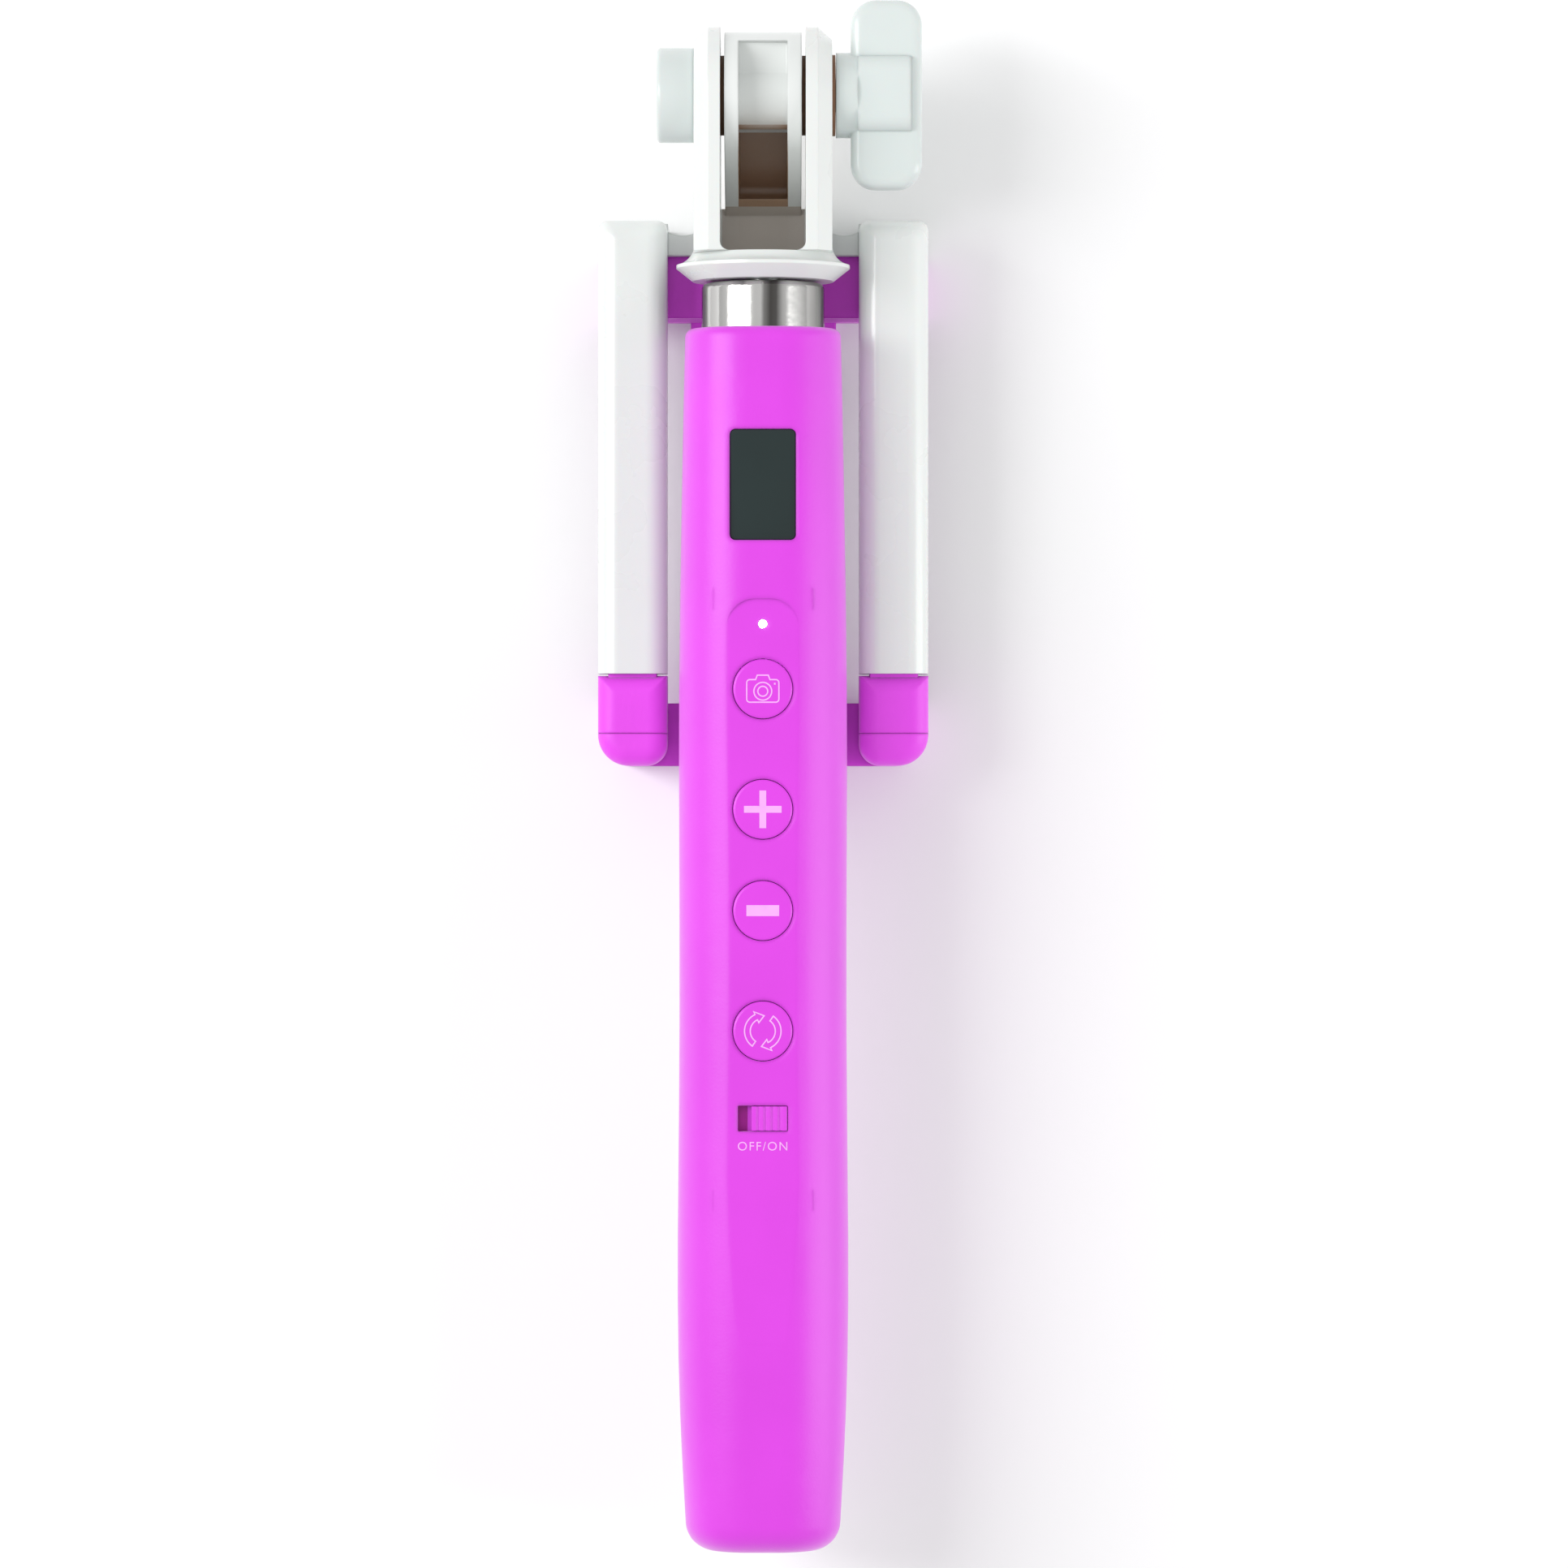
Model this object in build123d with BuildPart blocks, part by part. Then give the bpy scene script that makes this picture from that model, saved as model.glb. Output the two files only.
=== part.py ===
"""Folding one-piece selfie stick, lying on its back with the phone clamp folded under the handle.

The stick runs along +Y with its button face up +Z, and rests on the backs of the two clamp jaws at Z = 0.
Everything is laid out with the bottom of the handle at Y = 0, and save() moves each piece by -HALF_LENGTH,
which puts the origin at the middle of the length, on the surface it lies on. Units are millimetres.
"""

from build123d import *
import os

os.makedirs("parts", exist_ok=True)

# ---------------------------------------------------------------- driving dimensions
AXIS_Z = 24.6  # height of the telescopic tubes' axis above the table
HANDLE_LENGTH = 180.0
SHELL_WALL = 1.6
SEAM_GAP = 0.12  # fine line between the two handle shells
FRONT_STRIP = 2.6  # half width of the flat strip along the handle's face

TUBE_COUNT = 6
TUBE_OUTER_D = 18.2
TUBE_STEP = 2.6  # each tube is this much thinner than the one around it
TUBE_WALL = 0.5
TUBE_TOP = 187.0
TUBE_BOTTOM = 49.0
TUBE_CLEARANCE = 0.05
BUSH_LENGTH = 6.0

PIVOT_Y = 214.9  # tilt axis of the clamp, along X at height AXIS_Z
EAR_INNER = 6.3
EAR_OUTER = 10.2
EAR_RADIUS = 10.1
COLLAR_BOTTOM = 187.3
FORK_FLOOR = 191.3
COLLAR_RADIUS = 12.85
LUG_HALF_WIDTH = 5.7
LUG_RADIUS = 9.3
BOLT_RADIUS = 2.5

RAIL_INNER = 14.3
RAIL_OUTER = 24.6
RAIL_BACK = 12.0
RAIL_FRONT = 22.0
RAIL_TOP = 196.8
RAIL_BOTTOM = 129.3
RAIL_X = (RAIL_INNER + RAIL_OUTER) / 2
JAW_BACK = 2.2  # front of the hooking lips
JAW_FRONT = 11.6
UPPER_PAD_BOTTOM = 182.8
UPPER_PAD_TOP = 192.0
LOWER_JAW_TOP = 125.0
LOWER_JAW_BOTTOM = 115.6
LIP_OVERHANG = 2.6

BAND_Z = 38.45  # the flat that carries the buttons
BAND_HALF_WIDTH = 5.3
BAND_TOP = 140.0
PCB_BOTTOM_Z = 34.1
PCB_TOP_Z = 35.1
BUTTONS = {"shutter": 126.8, "zoom_in": 109.2, "zoom_out": 94.4, "flip": 76.8}
BUTTON_RADIUS = 4.35
SWITCH_Y = 64.0
SWITCH_TRAVEL = 1.9
SLIDER_WIDTH = 5.2
SLIDER_HEIGHT = 3.6
LED_Y = 136.3
LABEL_Y = 156.7
LABEL_SIZE = (9.6, 16.2)
LABEL_Z = 37.9

TOTAL_LENGTH = PIVOT_Y + 13.9
HALF_LENGTH = TOTAL_LENGTH / 2


def station(y):
    """The plane across the stick at y, with local x along X and local y along Z."""
    return Plane.XZ.offset(-y)


def save(shape, name):
    """Moves a finished piece into the row's frame and writes it as one STEP file."""
    piece = shape.moved(Location((0, -HALF_LENGTH, 0)))
    piece.label = name
    export_step(piece, f"parts/{name}.step")


# ---------------------------------------------------------------- handle shells
# y, width, back Z and front Z of the handle's rounded-rectangle sections
HANDLE_SECTIONS = [
    (0, 22.4, 13.7, 37.2),
    (10, 23.5, 13.0, 38.2),
    (22, 24.6, 12.4, 38.7),
    (60, 24.9, 12.3, 38.8),
    (115, 24.8, 12.3, 38.8),
    (145, 24.3, 12.4, 38.75),
    (162, 23.7, 12.6, 38.3),
    (HANDLE_LENGTH, 22.9, 13.0, 37.4),
]


def handle_loft(inset, start, end):
    """The handle's outline, drawn in by inset and cut off square at start and end."""
    with BuildPart() as body:
        for y, width, back, front in HANDLE_SECTIONS:
            radius = width / 2 - FRONT_STRIP - inset
            with BuildSketch(station(y)):
                with Locations((0, (back + front) / 2)):
                    RectangleRounded(width - 2 * inset, front - back - 2 * inset, radius)
        loft()
        with BuildSketch(station(start)):
            Rectangle(100, 100)
        extrude(amount=100, mode=Mode.SUBTRACT)
        with BuildSketch(station(end)):
            Rectangle(100, 100)
        extrude(amount=-100, mode=Mode.SUBTRACT)
    return body.part


BOTTOM_ROUNDING = 4.2
TOP_ROUNDING = 1.2
handle_outline = handle_loft(0, 0, HANDLE_LENGTH)
bottom_edges = handle_outline.faces().sort_by(Axis.Y)[0].edges()
handle_outline = fillet(bottom_edges, BOTTOM_ROUNDING)
top_edges = handle_outline.faces().sort_by(Axis.Y)[-1].edges()
handle_outline = fillet(top_edges, TOP_ROUNDING)
handle_cavity = handle_loft(SHELL_WALL, 2.0, HANDLE_LENGTH - 2.5)

# the flat button band: level over the buttons, then running out towards the bottom of the handle
BAND_LEVEL_END = 55.0
BAND_RUN_OUT = 31.0
with BuildPart() as band_cutter:
    with BuildSketch(Plane.YZ) as band_side:
        with BuildLine():
            Polyline(
                (BAND_RUN_OUT, 38.8),
                (BAND_LEVEL_END, BAND_Z),
                (BAND_TOP, BAND_Z),
                (BAND_TOP, 42),
                (BAND_RUN_OUT, 42),
                close=True,
            )
        make_face()
    extrude(amount=BAND_HALF_WIDTH, both=True)
    arch_edges = band_cutter.edges().filter_by(Axis.Z).group_by(Axis.Y)[-1]
    fillet(arch_edges, 4.2)

with BuildPart() as handle_openings:
    # buttons, status light, slide switch slot, label recess, tube bore
    with BuildSketch(Plane.XY.offset(AXIS_Z)):
        with Locations(*[(0, y) for y in BUTTONS.values()]):
            Circle(BUTTON_RADIUS + 0.1)
        with Locations((0, LED_Y)):
            Circle(0.6)
        with Locations((0, SWITCH_Y)):
            RectangleRounded(SLIDER_WIDTH + SWITCH_TRAVEL + 0.2, SLIDER_HEIGHT + 0.2, 0.2)
    extrude(amount=30)
    with BuildSketch(Plane.XY.offset(LABEL_Z - 0.6)):
        with Locations((0, LABEL_Y)):
            RectangleRounded(LABEL_SIZE[0] + 0.1, LABEL_SIZE[1] + 0.1, 0.85)
    extrude(amount=10)
    with BuildSketch(station(170)):
        with Locations((0, AXIS_Z)):
            Circle(TUBE_OUTER_D / 2 + TUBE_CLEARANCE)
    extrude(amount=-20)

SCREW_SPOTS = [(-7.4, 7.6), (7.4, 7.6)]
SCREW_HEAD_Z = 16.0
SCREW_HEAD_HEIGHT = 1.1
SCREW_RADIUS = 0.74
SCREW_LENGTH = 11.0
USB_Z = 22.0


def half_space(low_z, high_z):
    """A slab that holds everything between two heights."""
    with BuildPart() as slab:
        with Locations((0, HANDLE_LENGTH / 2, (low_z + high_z) / 2)):
            Box(100, 400, high_z - low_z)
    return slab.part


with BuildPart() as handle_front_shell:
    add(handle_outline)
    add(handle_cavity, mode=Mode.SUBTRACT)
    add(half_space(AXIS_Z + SEAM_GAP / 2, 60), mode=Mode.INTERSECT)
    add(band_cutter.part, mode=Mode.SUBTRACT)
    add(handle_openings.part, mode=Mode.SUBTRACT)
    # screw bosses from the front wall down to the seam
    with BuildSketch(Plane.XY.offset(AXIS_Z + SEAM_GAP / 2)):
        with Locations(*SCREW_SPOTS):
            Circle(2.1)
            Circle(SCREW_RADIUS + 0.01, mode=Mode.SUBTRACT)
    extrude(amount=13.4)
    add(handle_outline, mode=Mode.INTERSECT)
    # ledges that carry the circuit board
    with BuildSketch(Plane.XY.offset(PCB_TOP_Z)):
        with Locations(*[(x, y) for x in (-6.6, 6.6) for y in (52.0, 140.0)]):
            Rectangle(1.6, 3)
    extrude(amount=2.6)
save(handle_front_shell.part, "handle_front_shell")

with BuildPart() as handle_rear_shell:
    add(handle_outline)
    add(handle_cavity, mode=Mode.SUBTRACT)
    add(half_space(-10, AXIS_Z - SEAM_GAP / 2), mode=Mode.INTERSECT)
    with BuildSketch(Plane.XY.offset(AXIS_Z - SEAM_GAP / 2)):
        with Locations(*SCREW_SPOTS):
            Circle(2.3)
    extrude(amount=-11.2)
    # cradle ribs under the outer tube
    for rib_y in (62.0, 112.0, 160.0):
        with BuildSketch(station(rib_y)):
            with Locations((0, 18.4)):
                Rectangle(21.0, 12.0)
        extrude(amount=1.6)
    # keep only what lies inside the handle, then bore for the tube and the screws
    add(handle_outline, mode=Mode.INTERSECT)
    with BuildSketch(station(50)):
        with Locations((0, AXIS_Z)):
            Circle(TUBE_OUTER_D / 2 + TUBE_CLEARANCE)
    extrude(amount=-140, mode=Mode.SUBTRACT)
    with BuildSketch(Plane.XY):
        with Locations(*SCREW_SPOTS):
            Circle(SCREW_RADIUS + 0.2)
    extrude(amount=AXIS_Z, mode=Mode.SUBTRACT)
    with BuildSketch(Plane.XY):
        with Locations(*SCREW_SPOTS):
            Circle(1.9)
    extrude(amount=SCREW_HEAD_Z + SCREW_HEAD_HEIGHT, mode=Mode.SUBTRACT)
    # charging socket slot in the bottom end
    with BuildSketch(station(10)):
        with Locations((0, USB_Z)):
            RectangleRounded(7.9, 3.0, 0.7)
    extrude(amount=20, mode=Mode.SUBTRACT)
save(handle_rear_shell.part, "handle_rear_shell")

with BuildPart() as shell_screws:
    with BuildSketch(Plane.XY.offset(SCREW_HEAD_Z)):
        with Locations(*SCREW_SPOTS):
            Circle(1.7)
    extrude(amount=SCREW_HEAD_HEIGHT)
    with BuildSketch(Plane.XY.offset(SCREW_HEAD_Z)):
        with Locations(*SCREW_SPOTS):
            Rectangle(2.0, 0.4)
            Rectangle(0.4, 2.0)
    extrude(amount=0.5, mode=Mode.SUBTRACT)
    with BuildSketch(Plane.XY.offset(SCREW_HEAD_Z + SCREW_HEAD_HEIGHT)):
        with Locations(*SCREW_SPOTS):
            Circle(SCREW_RADIUS)
    extrude(amount=SCREW_LENGTH)
save(shell_screws.part, "shell_screws")

with BuildPart() as label_plate:
    with BuildSketch(Plane.XY.offset(LABEL_Z - 0.6)):
        with Locations((0, LABEL_Y)):
            RectangleRounded(*LABEL_SIZE, 0.8)
    extrude(amount=0.6)
    chamfer(label_plate.faces().sort_by(Axis.Z)[-1].edges(), 0.12)
save(label_plate.part, "label_plate")

# ---------------------------------------------------------------- electronics
with BuildPart() as circuit_board:
    with BuildSketch(Plane.XY.offset(PCB_BOTTOM_Z)):
        with Locations((0, 96.0)):
            RectangleRounded(15.4, 92.0, 1.0)
    extrude(amount=PCB_TOP_Z - PCB_BOTTOM_Z)
save(circuit_board.part, "circuit_board")

TACT_HEIGHT = 0.5
with BuildPart() as tact_switches:
    for y in BUTTONS.values():
        with Locations((0, y, PCB_TOP_Z + TACT_HEIGHT / 2)):
            Box(5.2, 5.2, TACT_HEIGHT)
save(tact_switches.part, "tact_switches")

with BuildPart() as control_chip:
    with Locations((0, 85.6, PCB_TOP_Z + 0.5)):
        Box(5.0, 5.0, 1.0)
save(control_chip.part, "control_chip")

with BuildPart() as status_led:
    with Locations((0, LED_Y, PCB_TOP_Z)):
        Box(1.6, 0.8, 0.5, align=(Align.CENTER, Align.CENTER, Align.MIN))
save(status_led.part, "status_led")

with BuildPart() as light_pipe:
    with Locations((0, LED_Y, PCB_TOP_Z + 0.5)):
        Cylinder(1.1, 1.5, align=(Align.CENTER, Align.CENTER, Align.MIN))
    with Locations((0, LED_Y, PCB_TOP_Z + 2.0)):
        Cylinder(0.55, BAND_Z - PCB_TOP_Z - 1.9, align=(Align.CENTER, Align.CENTER, Align.MIN))
    fillet(light_pipe.faces().sort_by(Axis.Z)[-1].edges(), 0.25)
save(light_pipe.part, "light_pipe")

SWITCH_BODY_HEIGHT = 1.2
with BuildPart() as slide_switch_body:
    with Locations((0, SWITCH_Y, PCB_TOP_Z)):
        Box(9.0, 4.6, SWITCH_BODY_HEIGHT, align=(Align.CENTER, Align.CENTER, Align.MIN))
save(slide_switch_body.part, "slide_switch_body")

with BuildPart() as battery:
    with BuildSketch(station(45.5)):
        with Locations((0, 25.0)):
            RectangleRounded(17.0, 8.0, 2.4)
    extrude(amount=30)
save(battery.part, "battery")

with BuildPart() as charging_board:
    with Locations((0, 7.0, USB_Z - 1.8)):
        Box(9.4, 9.0, 0.8)
save(charging_board.part, "charging_board")

with BuildPart() as charging_socket:
    with BuildSketch(station(6.2)):
        with Locations((0, USB_Z)):
            RectangleRounded(7.4, 2.7, 0.6)
    extrude(amount=5.8)
    with BuildSketch(station(5.6)):
        with Locations((0, USB_Z)):
            RectangleRounded(6.9, 2.2, 0.4)
    extrude(amount=6, mode=Mode.SUBTRACT)
    with Locations((0, 3.4, USB_Z + 0.35)):
        Box(3.7, 4.4, 0.6)
save(charging_socket.part, "charging_socket")

# ---------------------------------------------------------------- buttons and switch slider
BUTTON_TOP = BAND_Z + 0.3
FLANGE_TOP = 36.7
FLANGE_THICKNESS = 0.5
for name, y in BUTTONS.items():
    with BuildPart() as button:
        with Locations((0, y, FLANGE_TOP - FLANGE_THICKNESS)):
            Cylinder(5.0, FLANGE_THICKNESS, align=(Align.CENTER, Align.CENTER, Align.MIN))
        with Locations((0, y, FLANGE_TOP)):
            Cylinder(BUTTON_RADIUS, BUTTON_TOP - FLANGE_TOP, align=(Align.CENTER, Align.CENTER, Align.MIN))
        fillet(button.faces().sort_by(Axis.Z)[-1].edges(), 0.35)
    save(button.part, f"{name}_button")

SLIDER_TOP = BAND_Z + 0.1
SLIDER_BASE = PCB_TOP_Z + SWITCH_BODY_HEIGHT
RIB_COUNT = 5
with BuildPart() as switch_slider:
    slider_x = SWITCH_TRAVEL / 2
    with BuildSketch(Plane.XY.offset(SLIDER_BASE)):
        with Locations((slider_x, SWITCH_Y)):
            Rectangle(SLIDER_WIDTH + 1.2, SLIDER_HEIGHT + 1.2)
    extrude(amount=0.5)
    with BuildSketch(Plane.XY.offset(SLIDER_BASE)):
        with Locations((slider_x, SWITCH_Y)):
            Rectangle(SLIDER_WIDTH, SLIDER_HEIGHT)
    extrude(amount=SLIDER_TOP - SLIDER_BASE)
    rib_pitch = SLIDER_WIDTH / RIB_COUNT
    groove_xs = [slider_x + (i - (RIB_COUNT - 2) / 2) * rib_pitch for i in range(RIB_COUNT - 1)]
    with BuildSketch(station(SWITCH_Y)):
        with Locations(*[(x, SLIDER_TOP + 0.12) for x in groove_xs]):
            Circle(0.34)
    extrude(amount=5, both=True, mode=Mode.SUBTRACT)
save(switch_slider.part, "switch_slider")

# ---------------------------------------------------------------- telescopic tubes
RIM = 0.5
for i in range(TUBE_COUNT):
    outer = (TUBE_OUTER_D - i * TUBE_STEP) / 2
    inner = outer - TUBE_WALL
    bottom = TUBE_BOTTOM + i * 1.5
    last = i == TUBE_COUNT - 1
    top = TUBE_TOP - 0.1 * i if not last else FORK_FLOOR - 0.8
    with BuildPart() as tube:
        with BuildSketch(station(bottom)):
            with Locations((0, AXIS_Z)):
                Circle(outer)
                Circle(inner, mode=Mode.SUBTRACT)
        extrude(amount=bottom - top)
        if not last:
            # rolled-in rim that keeps the next tube's guide bush inside
            with BuildSketch(station(top)):
                with Locations((0, AXIS_Z)):
                    Circle(inner)
                    Circle(outer - TUBE_STEP / 2 + TUBE_CLEARANCE, mode=Mode.SUBTRACT)
            extrude(amount=RIM)
            rim_edge = tube.edges().filter_by(GeomType.CIRCLE).group_by(Axis.Y)[-1].sort_by(SortBy.LENGTH)[-1]
            fillet(rim_edge, 0.9 if i == 0 else 0.6)
        if i == 0:
            # pressed line along the front of the outer tube
            with Locations((0, (top + HANDLE_LENGTH) / 2, AXIS_Z + outer)):
                Box(0.3, 12, 0.3, mode=Mode.SUBTRACT)
    save(tube.part, f"tube_{i + 1}")
    if i > 0:
        with BuildPart() as guide_bush:
            with BuildSketch(station(bottom)):
                with Locations((0, AXIS_Z)):
                    Circle(outer + TUBE_STEP / 2 - TUBE_WALL - TUBE_CLEARANCE)
                    Circle(outer, mode=Mode.SUBTRACT)
            extrude(amount=-BUSH_LENGTH)
        save(guide_bush.part, f"guide_bush_{i + 1}")

with BuildPart() as tube_end_plug:
    with Locations(Plane((0, TUBE_BOTTOM, AXIS_Z), x_dir=(1, 0, 0), z_dir=(0, -1, 0))):
        Cylinder(TUBE_OUTER_D / 2, 1.4, align=(Align.CENTER, Align.CENTER, Align.MIN))
save(tube_end_plug.part, "tube_end_plug")

# ---------------------------------------------------------------- yoke on the innermost tube
with BuildPart() as yoke:
    with BuildSketch(Plane.XY):
        with BuildLine():
            Polyline(
                (0, COLLAR_BOTTOM),
                (COLLAR_RADIUS - 2.4, COLLAR_BOTTOM),
                (COLLAR_RADIUS, COLLAR_BOTTOM + 1.9),
                (COLLAR_RADIUS, COLLAR_BOTTOM + 2.4),
            )
            RadiusArc((COLLAR_RADIUS, COLLAR_BOTTOM + 2.4), (EAR_OUTER, FORK_FLOOR + 1.2), 3.4)
            Polyline((EAR_OUTER, FORK_FLOOR + 1.2), (0, FORK_FLOOR + 1.2), (0, COLLAR_BOTTOM))
        make_face()
    revolve(axis=Axis.Y)
    with BuildSketch(Plane.YZ):
        with Locations((PIVOT_Y, 0)):
            Circle(EAR_RADIUS)
        with Locations(((FORK_FLOOR + PIVOT_Y) / 2, 0)):
            Rectangle(PIVOT_Y - FORK_FLOOR, 2 * EAR_RADIUS)
    extrude(amount=EAR_OUTER, both=True)
    # bevel round the outer edge of each ear's end
    outer_faces = yoke.faces().filter_by(Axis.X)
    ear_ends = [
        edge
        for face in (outer_faces.sort_by(Axis.X)[0], outer_faces.sort_by(Axis.X)[-1])
        for edge in face.edges().filter_by(GeomType.CIRCLE)
        if edge.center().Y > PIVOT_Y
    ]
    chamfer(ear_ends, 2.1, 1.9)
    # the gap that the clamp's lug turns in
    with BuildSketch(Plane.XY.offset(-20)):
        with BuildLine():
            Polyline(
                (-EAR_INNER, PIVOT_Y + 20),
                (-EAR_INNER, FORK_FLOOR),
                (EAR_INNER, FORK_FLOOR),
                (EAR_INNER, PIVOT_Y + 20),
                close=True,
            )
        make_face()
        gap_corners = [v for v in vertices() if v.Y < PIVOT_Y]
        fillet(gap_corners, 1.3)
    extrude(amount=40, mode=Mode.SUBTRACT)
    with BuildSketch(Plane.YZ.offset(-30)):
        with Locations((PIVOT_Y, 0)):
            Circle(BOLT_RADIUS + 0.05)
    extrude(amount=60, mode=Mode.SUBTRACT)
    with BuildSketch(station(COLLAR_BOTTOM - 1)):
        Circle(TUBE_OUTER_D / 2 - (TUBE_COUNT - 1) * TUBE_STEP / 2)
    extrude(amount=-(FORK_FLOOR - 0.8 - COLLAR_BOTTOM + 1), mode=Mode.SUBTRACT)
save(yoke.part.moved(Location((0, 0, AXIS_Z))), "yoke")


def on_pivot(x, facing=1):
    """The plane across the tilt axis at x, facing along +X or -X."""
    return Plane((x, PIVOT_Y, AXIS_Z), x_dir=(0, 1, 0), z_dir=(facing, 0, 0))


NUT_CAP_OUT = 15.7
NUT_CAP_RADIUS = 7.0
NUT_FLAT_RADIUS = 4.55
NUT_OUT = 14.2
with BuildPart() as nut_cap:
    with BuildSketch(on_pivot(-EAR_OUTER, -1)):
        Circle(NUT_CAP_RADIUS)
    extrude(amount=NUT_CAP_OUT - EAR_OUTER)
    fillet(nut_cap.faces().sort_by(Axis.X)[0].edges(), 0.6)
    with BuildSketch(on_pivot(-EAR_OUTER, -1)):
        RegularPolygon(NUT_FLAT_RADIUS + 0.05, 6)
    extrude(amount=NUT_OUT - EAR_OUTER, mode=Mode.SUBTRACT)
save(nut_cap.part, "nut_cap")

with BuildPart() as pivot_nut:
    with BuildSketch(on_pivot(-EAR_OUTER, -1)):
        RegularPolygon(NUT_FLAT_RADIUS, 6)
        Circle(BOLT_RADIUS, mode=Mode.SUBTRACT)
    extrude(amount=4.0)
save(pivot_nut.part, "pivot_nut")

BOLT_END = 19.0
with BuildPart() as pivot_bolt:
    with BuildSketch(on_pivot(-NUT_OUT)):
        Circle(BOLT_RADIUS)
    extrude(amount=NUT_OUT + BOLT_END)
save(pivot_bolt.part, "pivot_bolt")

WASHER_RADIUS = 5.9
with BuildPart() as friction_washers:
    for side in (-1, 1):
        with BuildSketch(on_pivot(side * (LUG_HALF_WIDTH + 0.05), side)):
            Circle(WASHER_RADIUS)
            Circle(BOLT_RADIUS + 0.05, mode=Mode.SUBTRACT)
        extrude(amount=EAR_INNER - LUG_HALF_WIDTH - 0.05)
save(friction_washers.part, "friction_washers")

with BuildPart() as knob_washer:
    with BuildSketch(on_pivot(EAR_OUTER)):
        Circle(6.0)
        Circle(BOLT_RADIUS + 0.05, mode=Mode.SUBTRACT)
    extrude(amount=0.5)
save(knob_washer.part, "knob_washer")

# ---------------------------------------------------------------- wing knob
KNOB_IN = EAR_OUTER + 0.6
HUB_RADIUS = 6.3
WING_IN = 13.0
WING_OUT = 23.5
WING_HALF_LENGTH = 13.9
WING_HALF_THICKNESS = 3.3
with BuildPart() as wing_knob:
    with BuildSketch(on_pivot(KNOB_IN)):
        Circle(HUB_RADIUS)
    extrude(amount=3.2)
    with BuildSketch(on_pivot(KNOB_IN + 3.2)):
        RectangleRounded(11.0, 11.6, 2.4)
    extrude(amount=21.9 - KNOB_IN - 3.2)
    with BuildSketch(Plane.XY.offset(AXIS_Z)):
        with Locations(((WING_IN + WING_OUT) / 2, PIVOT_Y)):
            RectangleRounded(WING_OUT - WING_IN, 2 * WING_HALF_LENGTH, 3.7)
    extrude(amount=WING_HALF_THICKNESS, both=True)
    wing_rims = [
        edge
        for edge in wing_knob.edges().filter_by(Plane.XY)
        if abs(abs(edge.center().Z - AXIS_Z) - WING_HALF_THICKNESS) < 0.01
        and abs(edge.center().Y - PIVOT_Y) > HUB_RADIUS - 0.3
    ]
    fillet(wing_rims, 1.4)
    with BuildSketch(on_pivot(KNOB_IN)):
        Circle(BOLT_RADIUS + 0.05)
    extrude(amount=BOLT_END + 0.4 - KNOB_IN, mode=Mode.SUBTRACT)
save(wing_knob.part, "wing_knob")

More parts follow.
